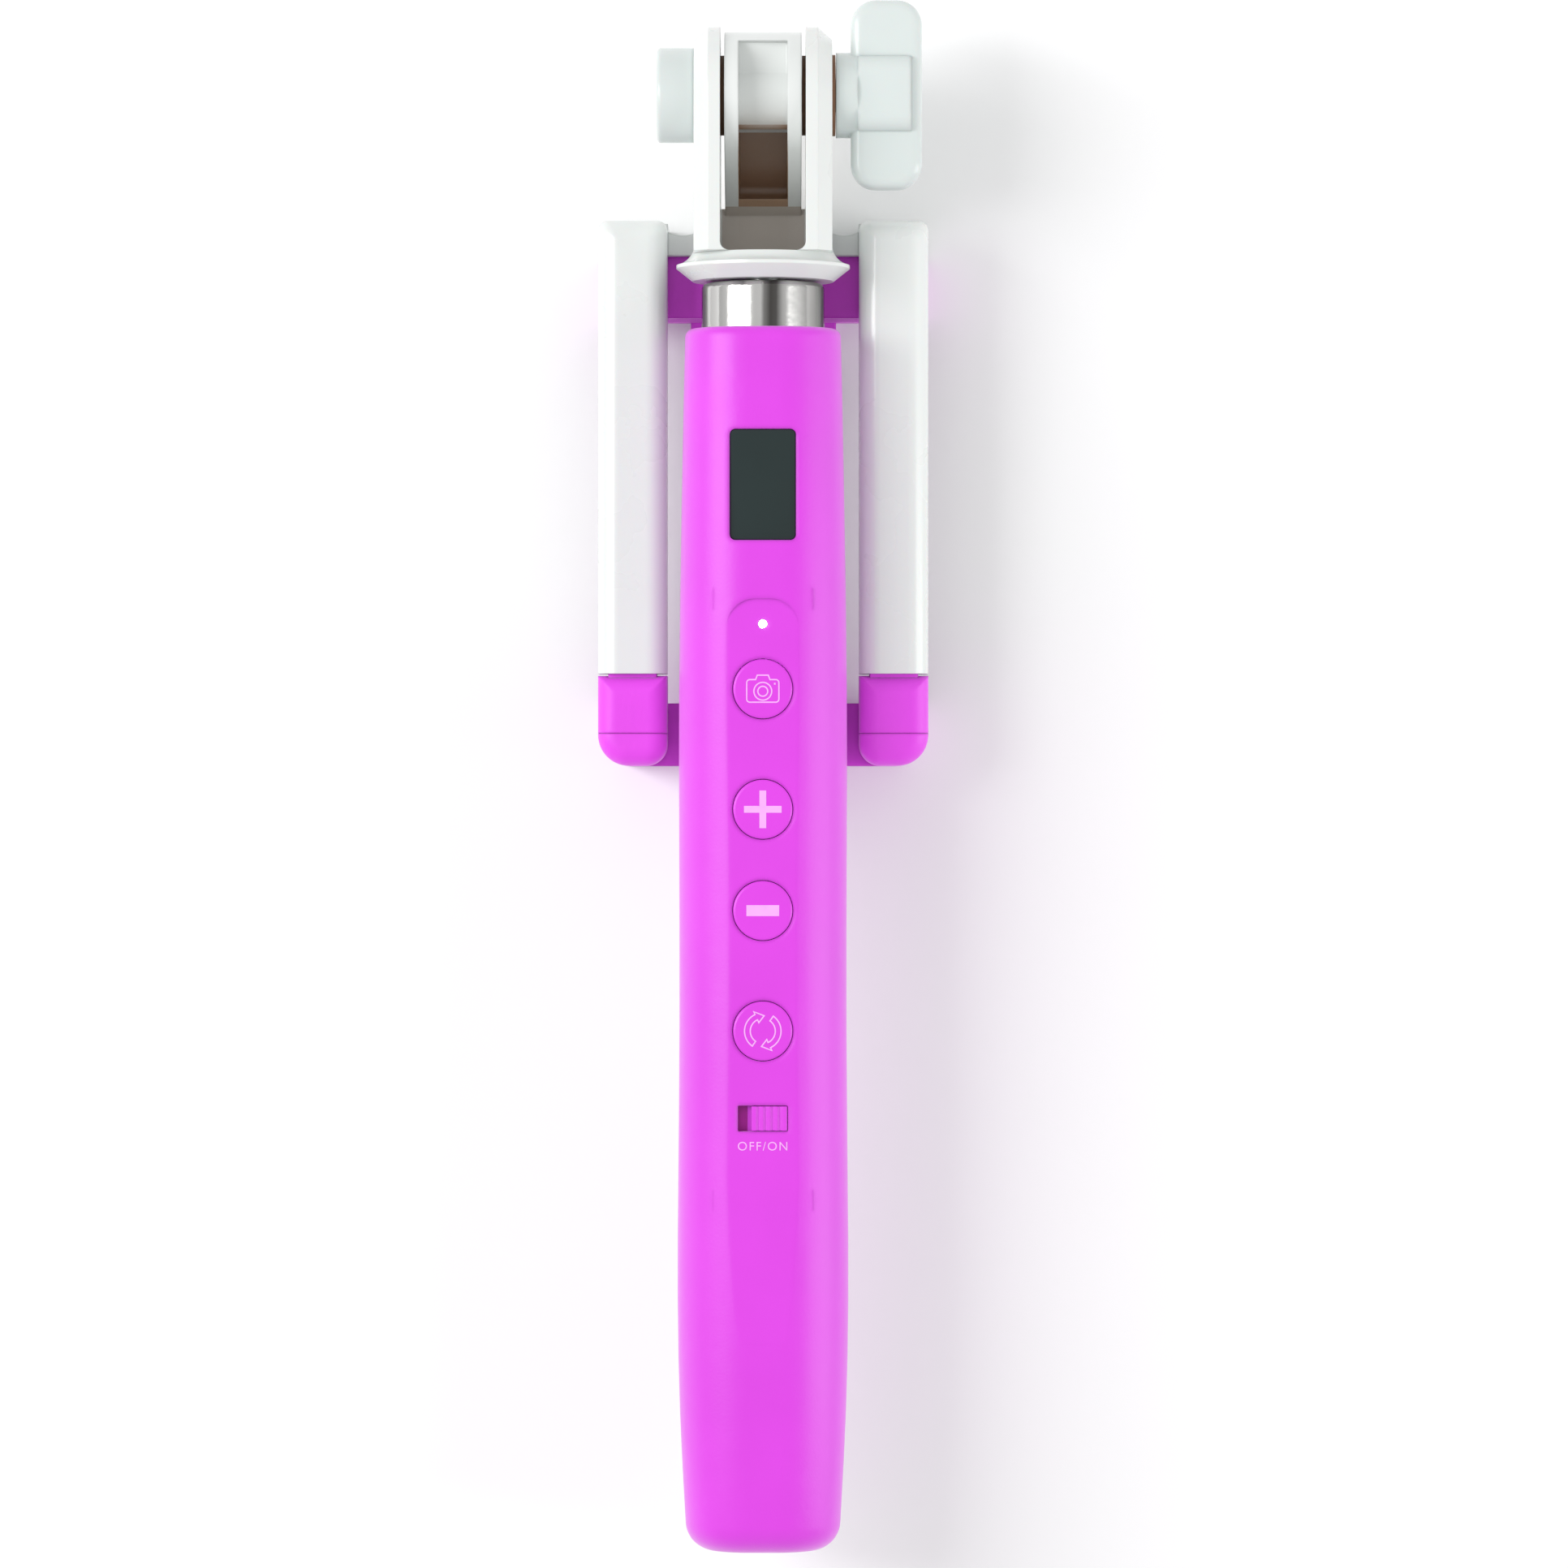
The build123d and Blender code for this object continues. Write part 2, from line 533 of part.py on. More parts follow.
# ---------------------------------------------------------------- phone clamp frame
BLOCK_BACK = 0.6
BLOCK_TOP = 199.0  # root of the lug
STRIP_FRONT = 13.6  # the frame's half of each rail
BLOCK_FRONT = 13.9
SCOOP_X = 12.1
SCOOP_Y = 195.0
SCOOP_RADIUS = 4.4
POCKET_HALF_WIDTH = 3.6
LUG_WALL = 1.8
PIVOT_BOSS_RADIUS = 5.0
POCKET_BOTTOM = BLOCK_TOP + 1.2
POCKET_TOP = PIVOT_Y + LUG_RADIUS - LUG_WALL
SPRING_Z = 17.1
with BuildPart() as clamp_frame:
    # lug: a strap from the tilt axis back to the cross block
    with BuildSketch(Plane.YZ):
        with BuildLine():
            CenterArc((PIVOT_Y, AXIS_Z), LUG_RADIUS, 0, 360)
            Line((BLOCK_TOP - 1, BLOCK_FRONT), (UPPER_PAD_TOP, 3.5))
        make_hull()
    extrude(amount=LUG_HALF_WIDTH, both=True)
    # pocket moulded out of the lug, leaving a boss round the bolt
    with BuildSketch(Plane.YZ):
        with BuildLine():
            CenterArc((PIVOT_Y, AXIS_Z), LUG_RADIUS - LUG_WALL, 0, 360)
            CenterArc((BLOCK_TOP + 3.0, BLOCK_FRONT - 1.2), 1.6, 0, 360)
        make_hull()
        with BuildLine():
            Polyline(
                (POCKET_BOTTOM, BLOCK_FRONT - 1.2),
                (POCKET_TOP, AXIS_Z),
                (POCKET_TOP, AXIS_Z + 12),
                (POCKET_BOTTOM, AXIS_Z + 12),
                close=True,
            )
        make_face()
        with Locations((PIVOT_Y, AXIS_Z)):
            Circle(PIVOT_BOSS_RADIUS, mode=Mode.SUBTRACT)
        with Locations(((PIVOT_Y + POCKET_TOP) / 2, AXIS_Z - 0.6)):
            Rectangle(POCKET_TOP - PIVOT_Y, 9.4, mode=Mode.SUBTRACT)
    extrude(amount=POCKET_HALF_WIDTH, both=True, mode=Mode.SUBTRACT)
    # cross block, scooped out on each side of the lug
    with BuildSketch(Plane.XY.offset(BLOCK_BACK)):
        with Locations((0, (UPPER_PAD_TOP + BLOCK_TOP) / 2)):
            Rectangle(2 * RAIL_INNER, BLOCK_TOP - UPPER_PAD_TOP)
        with Locations((-SCOOP_X, SCOOP_Y + SCOOP_RADIUS), (SCOOP_X, SCOOP_Y + SCOOP_RADIUS)):
            Circle(SCOOP_RADIUS, mode=Mode.SUBTRACT)
    extrude(amount=BLOCK_FRONT - BLOCK_BACK)
    with Locations((0, (UPPER_PAD_TOP + RAIL_TOP) / 2, BLOCK_BACK)):
        for side in (-1, 1):
            with Locations((side * RAIL_X, 0, 0)):
                Box(
                    RAIL_OUTER - RAIL_INNER,
                    RAIL_TOP - UPPER_PAD_TOP,
                    STRIP_FRONT - BLOCK_BACK,
                    align=(Align.CENTER, Align.CENTER, Align.MIN),
                )
    # back strips of the two rails, each with a post for its spring
    for side in (-1, 1):
        with Locations((side * RAIL_X, (RAIL_BOTTOM + RAIL_TOP) / 2, RAIL_BACK)):
            Box(
                RAIL_OUTER - RAIL_INNER,
                RAIL_TOP - RAIL_BOTTOM,
                STRIP_FRONT - RAIL_BACK,
                align=(Align.CENTER, Align.CENTER, Align.MIN),
            )
        with Locations((side * RAIL_X, 193.6, STRIP_FRONT)):
            Cylinder(0.8, 6.8, align=(Align.CENTER, Align.CENTER, Align.MIN))
    with BuildSketch(Plane.YZ.offset(-30)):
        with Locations((PIVOT_Y, AXIS_Z)):
            Circle(BOLT_RADIUS + 0.05)
    extrude(amount=60, mode=Mode.SUBTRACT)
    outer_edges = clamp_frame.edges().filter_by(Axis.Z).group_by(Axis.X)
    fillet([e for g in (outer_edges[0], outer_edges[-1]) for e in g if e.center().Y > RAIL_TOP - 1], 1.4)
save(clamp_frame.part, "clamp_frame")

COVER_WALL = 1.4
for side, name in ((-1, "left"), (1, "right")):
    with BuildPart() as rail_cover:
        with BuildSketch(Plane.XY.offset(STRIP_FRONT)):
            with Locations((side * RAIL_X, (RAIL_BOTTOM + RAIL_TOP) / 2)):
                Rectangle(RAIL_OUTER - RAIL_INNER, RAIL_TOP - RAIL_BOTTOM)
        extrude(amount=RAIL_FRONT - STRIP_FRONT)
        fillet(rail_cover.edges().filter_by(Axis.Z).group_by(Axis.Y)[-1], 1.4)
        fillet(rail_cover.edges().filter_by(Axis.Y).group_by(Axis.Z)[-1], 3.0)
        with BuildSketch(Plane.XY.offset(STRIP_FRONT)):
            with Locations((side * RAIL_X, (RAIL_BOTTOM + RAIL_TOP) / 2 - COVER_WALL)):
                Rectangle(RAIL_OUTER - RAIL_INNER - 2 * COVER_WALL, RAIL_TOP - RAIL_BOTTOM)
        extrude(amount=RAIL_FRONT - STRIP_FRONT - COVER_WALL, mode=Mode.SUBTRACT)
    save(rail_cover.part, f"rail_cover_{name}")

PAD_HALF_WIDTH = 24.2
LIP_HALF_WIDTH = 11.0
GRIP_GROOVES = 4


def jaw_block(face_y, back_y, lip_y):
    """A jaw: a block across the clamp with a hooking lip at the middle of its back."""
    with BuildPart() as block:
        with Locations((0, (face_y + back_y) / 2, 0)):
            Box(
                2 * PAD_HALF_WIDTH,
                abs(back_y - face_y),
                JAW_FRONT,
                align=(Align.CENTER, Align.CENTER, Align.MIN),
            )
        with BuildSketch(Plane.YZ):
            with BuildLine():
                Polyline(
                    (back_y, 0),
                    (lip_y, 0),
                    (lip_y, JAW_BACK - 0.6),
                    (face_y, JAW_BACK),
                    (back_y, JAW_BACK),
                    close=True,
                )
            make_face()
        extrude(amount=LIP_HALF_WIDTH, both=True)
    return block.part


with BuildPart() as upper_jaw_pad:
    add(jaw_block(UPPER_PAD_BOTTOM, UPPER_PAD_TOP, UPPER_PAD_BOTTOM - LIP_OVERHANG))
    fillet(upper_jaw_pad.edges().filter_by(Axis.Z).group_by(Axis.Y)[0], 1.0)
    for i in range(GRIP_GROOVES):
        with Locations((0, UPPER_PAD_BOTTOM, 4.0 + 1.9 * i)):
            Box(2 * PAD_HALF_WIDTH - 6, 0.8, 0.8, mode=Mode.SUBTRACT)
save(upper_jaw_pad.part, "upper_jaw_pad")

# ---------------------------------------------------------------- sprung lower jaw
CAP_SEAM = 120.4
CAP_TOP = RAIL_BOTTOM - 0.3
LEG_WIDTH = 7.2
LEG_BACK = STRIP_FRONT + 0.15
LEG_FRONT = RAIL_FRONT - COVER_WALL - 0.15
LEG_TOP = 178.0
SPRING_BORE = 2.4
SPRING_BOTTOM = 131.0
SPRING_TOP = 192.4


def jaw_cap(side):
    """One rounded end cap of the lower jaw, before it is parted at the seam."""
    with BuildPart() as cap:
        with BuildSketch(Plane.XY.offset(RAIL_BACK)):
            with Locations((side * RAIL_X, (LOWER_JAW_BOTTOM + CAP_TOP) / 2)):
                Rectangle(RAIL_OUTER - RAIL_INNER, CAP_TOP - LOWER_JAW_BOTTOM)
        extrude(amount=RAIL_FRONT - RAIL_BACK)
        lower_corners = cap.edges().filter_by(Axis.Z).group_by(Axis.Y)[0]
        fillet(lower_corners.sort_by(lambda e: abs(e.center().X))[-1], 4.6)
        inner_corner = cap.edges().filter_by(Axis.Z).group_by(Axis.Y)[0]
        fillet(inner_corner.sort_by(lambda e: abs(e.center().X))[0], 3.2)
        fillet(cap.faces().sort_by(Axis.Z)[-1].edges(), 2.6)
    return cap.part


with BuildPart() as lower_jaw:
    add(jaw_block(LOWER_JAW_TOP, LOWER_JAW_BOTTOM, LOWER_JAW_TOP + LIP_OVERHANG))
    fillet(lower_jaw.edges().filter_by(Axis.Z).group_by(Axis.Y)[0], 4.4)
    for side in (-1, 1):
        # neck between the crosspiece and the end cap in front of it
        with Locations((side * (RAIL_X - 0.4), 121.5, 10.0)):
            Box(8.0, 6.0, 4.2, align=(Align.CENTER, Align.CENTER, Align.MIN))
        add(jaw_cap(side))
    with BuildSketch(Plane.XY.offset(STRIP_FRONT)):
        for side in (-1, 1):
            with Locations((side * RAIL_X, CAP_SEAM + 10)):
                Rectangle(RAIL_OUTER - RAIL_INNER + 1, 20)
    extrude(amount=20, mode=Mode.SUBTRACT)
    # legs that slide in the rails, bored for the springs
    for side in (-1, 1):
        with Locations((side * RAIL_X, (CAP_SEAM - 1 + LEG_TOP) / 2, (LEG_BACK + LEG_FRONT) / 2)):
            Box(LEG_WIDTH, LEG_TOP - CAP_SEAM + 1, LEG_FRONT - LEG_BACK)
    with BuildSketch(station(SPRING_BOTTOM)):
        with Locations((-RAIL_X, SPRING_Z), (RAIL_X, SPRING_Z)):
            Circle(SPRING_BORE)
    extrude(amount=-(LEG_TOP - SPRING_BOTTOM + 1), mode=Mode.SUBTRACT)
    for i in range(GRIP_GROOVES):
        with Locations((0, LOWER_JAW_TOP, 4.0 + 1.9 * i)):
            Box(2 * PAD_HALF_WIDTH - 6, 0.8, 0.8, mode=Mode.SUBTRACT)
save(lower_jaw.part, "lower_jaw")

for side, name in ((-1, "left"), (1, "right")):
    with BuildPart() as jaw_cover:
        add(jaw_cap(side))
        with BuildSketch(Plane.XY.offset(STRIP_FRONT + 0.05)):
            with Locations((side * RAIL_X, CAP_SEAM + 0.05 + 10)):
                Rectangle(20, 20)
        extrude(amount=20, mode=Mode.INTERSECT)
        with Locations((side * RAIL_X, CAP_SEAM, STRIP_FRONT)):
            Box(
                LEG_WIDTH + 0.1,
                40,
                LEG_FRONT + 0.05 - STRIP_FRONT,
                align=(Align.CENTER, Align.CENTER, Align.MIN),
                mode=Mode.SUBTRACT,
            )
    save(jaw_cover.part, f"jaw_cover_{name}")

SPRING_RADIUS = 1.9
SPRING_WIRE = 0.25
SPRING_PITCH = 1.7
spring_solids = []
for x in (-RAIL_X, RAIL_X):
    with BuildPart() as jaw_spring:
        with BuildLine():
            coil = Helix(
                SPRING_PITCH,
                SPRING_TOP - SPRING_BOTTOM - 1.0,
                SPRING_RADIUS,
                center=(x, SPRING_BOTTOM + 0.5, SPRING_Z),
                direction=(0, 1, 0),
            )
        with BuildSketch(Plane(origin=coil @ 0, z_dir=coil % 0)):
            Circle(SPRING_WIRE)
        sweep(is_frenet=True)
    spring_solids.append(jaw_spring.part)
save(Compound(children=spring_solids), "jaw_springs")
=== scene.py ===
"""Folding selfie stick: studio view from straight above, on a pale floor."""
import math

import bmesh
import bpy
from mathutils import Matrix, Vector


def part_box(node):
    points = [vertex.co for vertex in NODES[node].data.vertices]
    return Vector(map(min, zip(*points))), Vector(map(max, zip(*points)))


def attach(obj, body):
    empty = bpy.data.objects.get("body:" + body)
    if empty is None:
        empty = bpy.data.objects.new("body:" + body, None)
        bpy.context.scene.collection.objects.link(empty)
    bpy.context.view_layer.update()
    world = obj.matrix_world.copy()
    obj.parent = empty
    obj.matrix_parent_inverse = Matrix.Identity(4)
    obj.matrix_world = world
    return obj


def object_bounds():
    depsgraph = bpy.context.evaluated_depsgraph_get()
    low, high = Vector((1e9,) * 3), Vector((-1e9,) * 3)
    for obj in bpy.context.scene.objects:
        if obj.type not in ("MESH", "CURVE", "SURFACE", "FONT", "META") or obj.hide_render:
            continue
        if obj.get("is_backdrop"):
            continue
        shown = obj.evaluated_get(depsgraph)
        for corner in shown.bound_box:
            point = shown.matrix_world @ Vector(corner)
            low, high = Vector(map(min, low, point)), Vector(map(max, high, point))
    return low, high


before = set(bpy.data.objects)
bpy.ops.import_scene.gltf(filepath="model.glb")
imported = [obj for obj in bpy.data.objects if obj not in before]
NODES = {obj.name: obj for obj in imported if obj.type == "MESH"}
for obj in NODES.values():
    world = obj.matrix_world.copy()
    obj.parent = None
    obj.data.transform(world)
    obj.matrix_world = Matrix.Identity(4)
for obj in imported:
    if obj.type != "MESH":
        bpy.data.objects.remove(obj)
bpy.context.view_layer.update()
MM = 0.001


# ---------------------------------------------------------------- materials
class Shader:
    """A Principled material with a procedural colour, roughness and surface relief."""

    def __init__(
        self, name, color, roughness, metallic=0.0, vary=0.05, scale=60.0, relief=0.02, relief_scale=900.0
    ):
        self.mat = bpy.data.materials.new(name)
        self.mat.use_nodes = True
        self.tree = self.mat.node_tree
        self.bsdf = self.tree.nodes["Principled BSDF"]
        self.bsdf.inputs["Metallic"].default_value = metallic
        self.coord = self.tree.nodes.new("ShaderNodeTexCoord")
        noise = self.add("ShaderNodeTexNoise", Scale=scale, Detail=4.0)
        self.link(self.coord.outputs["Object"], noise.inputs["Vector"])
        ramp = self.add("ShaderNodeValToRGB")
        low = [max(0.0, c * (1 - vary)) for c in color]
        high = [min(1.0, c * (1 + vary)) for c in color]
        ramp.color_ramp.elements[0].position = 0.3
        ramp.color_ramp.elements[0].color = (*low, 1)
        ramp.color_ramp.elements[1].position = 0.7
        ramp.color_ramp.elements[1].color = (*high, 1)
        self.link(noise.outputs["Fac"], ramp.inputs["Fac"])
        self.color = ramp.outputs["Color"]
        self.link(self.color, self.bsdf.inputs["Base Color"])
        spread = self.add("ShaderNodeMapRange")
        spread.inputs["To Min"].default_value = roughness * 0.85
        spread.inputs["To Max"].default_value = roughness * 1.15
        self.link(noise.outputs["Fac"], spread.inputs["Value"])
        self.link(spread.outputs["Result"], self.bsdf.inputs["Roughness"])
        grain = self.add("ShaderNodeTexNoise", Scale=relief_scale, Detail=3.0)
        self.link(self.coord.outputs["Object"], grain.inputs["Vector"])
        self.bump = self.add("ShaderNodeBump", Strength=relief, Distance=0.0004)
        self.link(grain.outputs["Fac"], self.bump.inputs["Height"])
        self.link(self.bump.outputs["Normal"], self.bsdf.inputs["Normal"])

    def add(self, kind, **values):
        """A new node with some of its inputs set."""
        node = self.tree.nodes.new(kind)
        for key, value in values.items():
            node.inputs[key].default_value = value
        return node

    def link(self, a, b):
        """Joins two sockets."""
        self.tree.links.new(a, b)

    def set(self, **values):
        """Sets plain inputs of the surface, with spaces in their names as underscores."""
        for key, value in values.items():
            self.bsdf.inputs[key.replace("_", " ")].default_value = value
        return self

    def round_edges(self, radius):
        """Softens the look of sharp edges by up to radius."""
        bevel = self.add("ShaderNodeBevel", Radius=radius)
        bevel.samples = 6
        self.link(bevel.outputs["Normal"], self.bump.inputs["Normal"])
        return self

    def axis(self, name):
        """One coordinate of the point, in metres in the row frame."""
        split = self.add("ShaderNodeSeparateXYZ")
        self.link(self.coord.outputs["Object"], split.inputs["Vector"])
        return split.outputs[name]

    def math(self, operation, a, b=None, c=None):
        """A Math node on sockets or plain numbers."""
        node = self.tree.nodes.new("ShaderNodeMath")
        node.operation = operation
        for i, value in enumerate((a, b, c)):
            if value is None:
                continue
            if isinstance(value, (int, float)):
                node.inputs[i].default_value = value
            else:
                self.link(value, node.inputs[i])
        return node.outputs[0]

    def tint(self, factor, color, mode="MIX"):
        """Mixes a second colour into the base colour by factor."""
        mix = self.tree.nodes.new("ShaderNodeMix")
        mix.data_type = "RGBA"
        mix.blend_type = mode
        self.link(factor, mix.inputs["Factor"])
        self.link(self.color, mix.inputs["A"])
        mix.inputs["B"].default_value = (*color, 1)
        self.color = mix.outputs["Result"]
        self.link(self.color, self.bsdf.inputs["Base Color"])
        return self


def calm_bounce(shader, color):
    """Makes the light that a strongly coloured piece throws on its neighbours paler."""
    path = shader.tree.nodes.new("ShaderNodeLightPath")
    share = shader.math("MULTIPLY", path.outputs["Is Diffuse Ray"], 0.75)
    shader.tint(share, color)


def paint(shader, *nodes):
    """Gives CAD nodes this material."""
    for name in nodes:
        mesh = NODES[name].data
        mesh.materials.clear()
        mesh.materials.append(shader.mat)


handle = Shader("handle_pink", (0.72, 0.038, 0.77), 0.42, vary=0.03, relief=0.05, relief_scale=2500.0)
handle.set(Coat_Weight=0.12, Coat_Roughness=0.35, Sheen_Weight=0.35, Sheen_Roughness=0.5)
handle.round_edges(0.0012)
calm_bounce(handle, (0.72, 0.62, 0.74))
paint(handle, "handle_front_shell", "handle_rear_shell")

button = Shader("button_pink", (0.73, 0.042, 0.78), 0.36, vary=0.03, relief=0.03, relief_scale=2500.0)
button.set(Coat_Weight=0.2, Coat_Roughness=0.3).round_edges(0.0003)
paint(button, "shutter_button", "zoom_in_button", "zoom_out_button", "flip_button", "switch_slider")

jaw = Shader("jaw_pink", (0.82, 0.065, 0.86), 0.48, vary=0.04, relief=0.06, relief_scale=1800.0)
jaw.set(Sheen_Weight=0.2, Sheen_Roughness=0.4).round_edges(0.0006)
calm_bounce(jaw, (0.72, 0.5, 0.74))
paint(jaw, "upper_jaw_pad", "lower_jaw", "jaw_cover_left", "jaw_cover_right")

white = Shader("clamp_white", (0.80, 0.825, 0.81), 0.28, vary=0.012, relief=0.008, relief_scale=1400.0)
white.set(Coat_Weight=0.35, Coat_Roughness=0.12, Subsurface_Weight=0.08, Subsurface_Scale=0.002)
white.round_edges(0.00025)
paint(white, "rail_cover_left", "rail_cover_right", "yoke")

# the clamp frame, with a painted brown shadow in the lug's pocket and a painted grey-brown shadow on the
# cross block seen through the fork, both stronger where ambient occlusion finds a recess
deep = Shader("clamp_white_shaded", (0.80, 0.825, 0.81), 0.3, vary=0.012, relief=0.008, relief_scale=1400.0)
deep.set(Coat_Weight=0.3, Coat_Roughness=0.15).round_edges(0.0005)
occlusion = deep.add("ShaderNodeAmbientOcclusion", Distance=0.016)
occlusion.samples = 8
shade = deep.add("ShaderNodeMapRange")
shade.inputs["From Min"].default_value = 0.72
shade.inputs["From Max"].default_value = 0.34
deep.link(occlusion.outputs["AO"], shade.inputs["Value"])
bolt_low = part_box("pivot_bolt")[0]
POCKET_HALF_WIDTH = 3.7 * MM
GAP_HALF_WIDTH = 6.2 * MM
BLOCK_BELOW_BOLT = 13.2 * MM
POCKET_BELOW_BOLT = 2.0 * MM
BLOCK_BEHIND_BOLT = 8.8 * MM
beside = deep.math("ABSOLUTE", deep.axis("X"))
in_pocket = deep.math("LESS_THAN", beside, POCKET_HALF_WIDTH)
in_gap = deep.math("LESS_THAN", beside, GAP_HALF_WIDTH)
on_block = deep.math("LESS_THAN", deep.axis("Y"), bolt_low[1] - BLOCK_BELOW_BOLT)
below_boss = deep.math("LESS_THAN", deep.axis("Y"), bolt_low[1] - POCKET_BELOW_BOLT)
pocket_shadow_mask = deep.math("MULTIPLY", in_pocket, below_boss)
block_front = deep.math("GREATER_THAN", deep.axis("Z"), bolt_low[2] - BLOCK_BEHIND_BOLT)
window_shadow_mask = deep.math("MULTIPLY", deep.math("MULTIPLY", in_gap, on_block), block_front)
# painted shade: brown shadow colour mixed into the lug's pocket
deep.tint(deep.math("MULTIPLY", shade.outputs["Result"], pocket_shadow_mask), (0.42, 0.26, 0.165))
# painted shade: grey-brown shadow colour mixed into the cross block behind the fork
deep.tint(deep.math("MULTIPLY", shade.outputs["Result"], window_shadow_mask), (0.56, 0.50, 0.45))
paint(deep, "clamp_frame")

knob = Shader("knob_white", (0.70, 0.76, 0.745), 0.3, vary=0.015, relief=0.01, relief_scale=1400.0)
knob.set(Coat_Weight=0.3, Coat_Roughness=0.15, Subsurface_Weight=0.08, Subsurface_Scale=0.002)
knob.round_edges(0.0009)
paint(knob, "nut_cap", "wing_knob")

chrome = Shader("outer_tube_chrome", (0.74, 0.735, 0.72), 0.13, metallic=1.0, vary=0.05, relief=0.02)
# painted reflection: dark and bright streaks across the tube stand in for the studio mirrored in it, as
# (place across it, darkness)
across = chrome.math("DIVIDE", chrome.axis("X"), (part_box("tube_1")[1][0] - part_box("tube_1")[0][0]))
wobble = chrome.add("ShaderNodeTexNoise", Scale=260.0, Detail=2.0)
chrome.link(chrome.coord.outputs["Object"], wobble.inputs["Vector"])
shifted = chrome.math("MULTIPLY_ADD", wobble.outputs["Fac"], 0.02, across)
reflection_streaks = chrome.add("ShaderNodeValToRGB")
chrome.link(chrome.math("ADD", shifted, 0.49), reflection_streaks.inputs["Fac"])
REFLECTION_STREAKS = (
    (0.0, 0.62), (0.05, 0.45), (0.12, 0.35), (0.18, 0.08), (0.23, 0.0), (0.29, 0.3),
    (0.34, 0.55), (0.37, 0.1), (0.48, 0.0), (0.51, 0.7), (0.56, 1.0), (0.61, 0.95),
    (0.66, 0.3), (0.72, 0.0), (0.78, 0.15), (0.85, 0.45), (0.92, 0.7), (1.0, 0.7),
)
ramp_points = reflection_streaks.color_ramp.elements
for i, (position, dark) in enumerate(REFLECTION_STREAKS):
    point = ramp_points[i] if i < 2 else ramp_points.new(position)
    point.position = position
    point.color = (dark, dark, dark, 1)
# painted reflection: the streaks darken the chrome's colour toward this
chrome.tint(reflection_streaks.outputs["Color"], (0.10, 0.095, 0.09))
paint(chrome, "tube_1")

steel = Shader("inner_tube_steel", (0.66, 0.66, 0.66), 0.18, metallic=1.0, vary=0.05, relief=0.02)
paint(steel, *[f"tube_{i}" for i in range(2, 7)])

bush = Shader("bush_grey", (0.06, 0.06, 0.065), 0.6, vary=0.1)
paint(bush, *[f"guide_bush_{i}" for i in range(2, 7)], "tube_end_plug")

zinc = Shader("hardware_steel", (0.55, 0.55, 0.56), 0.3, metallic=1.0, vary=0.1)
paint(zinc, "shell_screws", "pivot_nut", "pivot_bolt", "jaw_springs")

washer = Shader("washer_brown", (0.26, 0.13, 0.07), 0.6, vary=0.15, scale=500.0)
paint(washer, "friction_washers", "knob_washer")

label = Shader("label_black", (0.012, 0.024, 0.024), 0.14, vary=0.12, scale=40.0, relief=0.004)
label.set(Coat_Weight=0.1, Coat_Roughness=0.05, Specular_IOR_Level=0.4)
paint(label, "label_plate")

board = Shader("board_green", (0.012, 0.10, 0.035), 0.4, vary=0.2, scale=300.0)
paint(board, "circuit_board", "charging_board")

chip = Shader("chip_black", (0.02, 0.02, 0.022), 0.45, vary=0.1, scale=300.0)
paint(chip, "control_chip", "tact_switches")

slot_floor = Shader("switch_body_pink", (0.62, 0.012, 0.46), 0.45, vary=0.08, scale=300.0)
paint(slot_floor, "slide_switch_body")

socket = Shader("socket_steel", (0.6, 0.6, 0.61), 0.25, metallic=1.0, vary=0.08)
paint(socket, "charging_socket")

lamp = Shader("led_white", (0.9, 0.92, 0.95), 0.2, vary=0.02)
lamp.set(Emission_Color=(0.93, 0.96, 1.0, 1.0), Emission_Strength=14.0)
paint(lamp, "status_led", "light_pipe")

pouch = Shader("battery_wrap", (0.38, 0.4, 0.43), 0.35, metallic=0.6, vary=0.08)
paint(pouch, "battery")

ink = Shader("icon_print", (0.90, 0.42, 0.91), 0.5, vary=0.04, scale=700.0, relief=0.01)
ink.set(Sheen_Weight=0.1)


# ---------------------------------------------------------------- printed icons
INK_LIFT = 0.005 * MM
INK_TOP = 0.03 * MM


def outline_strip(points, width, closed=False):
    """A flat strip of one width along a line of points, as a list of quads of (x, y)."""
    count = len(points)
    left, right = [], []
    for i, (x, y) in enumerate(points):
        before = points[(i - 1) % count] if closed or i > 0 else points[i]
        after = points[(i + 1) % count] if closed or i < count - 1 else points[i]
        arrive = Vector((x - before[0], y - before[1]))
        leave = Vector((after[0] - x, after[1] - y))
        arrive = arrive.normalized() if arrive.length > 0 else leave.normalized()
        leave = leave.normalized() if leave.length > 0 else arrive
        tangent = (arrive + leave).normalized()
        normal = Vector((-tangent.y, tangent.x))
        reach = width / 2 / max(0.5, normal.dot(Vector((-arrive.y, arrive.x))))
        left.append((x + normal.x * reach, y + normal.y * reach))
        right.append((x - normal.x * reach, y - normal.y * reach))
    spans = count if closed else count - 1
    return [(left[i], right[i], right[(i + 1) % count], left[(i + 1) % count]) for i in range(spans)]


def ring(cx, cy, radius, width, steps=48):
    """A circle line."""
    angles = [math.tau * i / steps for i in range(steps)]
    points = [(cx + radius * math.cos(a), cy + radius * math.sin(a)) for a in angles]
    return outline_strip(points, width, closed=True)


def bar(cx, cy, width, height):
    """A filled rectangle."""
    w, h = width / 2, height / 2
    return [((cx - w, cy - h), (cx + w, cy - h), (cx + w, cy + h), (cx - w, cy + h))]


def rounded(x0, y0, x1, y1, radius, steps=5):
    """Corner points of a rounded rectangle, counter-clockwise."""
    points = []
    corners = (
        (x1 - radius, y1 - radius, 0),
        (x0 + radius, y1 - radius, 90),
        (x0 + radius, y0 + radius, 180),
        (x1 - radius, y0 + radius, 270),
    )
    for cx, cy, start in corners:
        for i in range(steps + 1):
            a = math.radians(start + 90 * i / steps)
            points.append((cx + radius * math.cos(a), cy + radius * math.sin(a)))
    return points


LINE_WIDTH = 0.2  # of the outlined icons, in mm


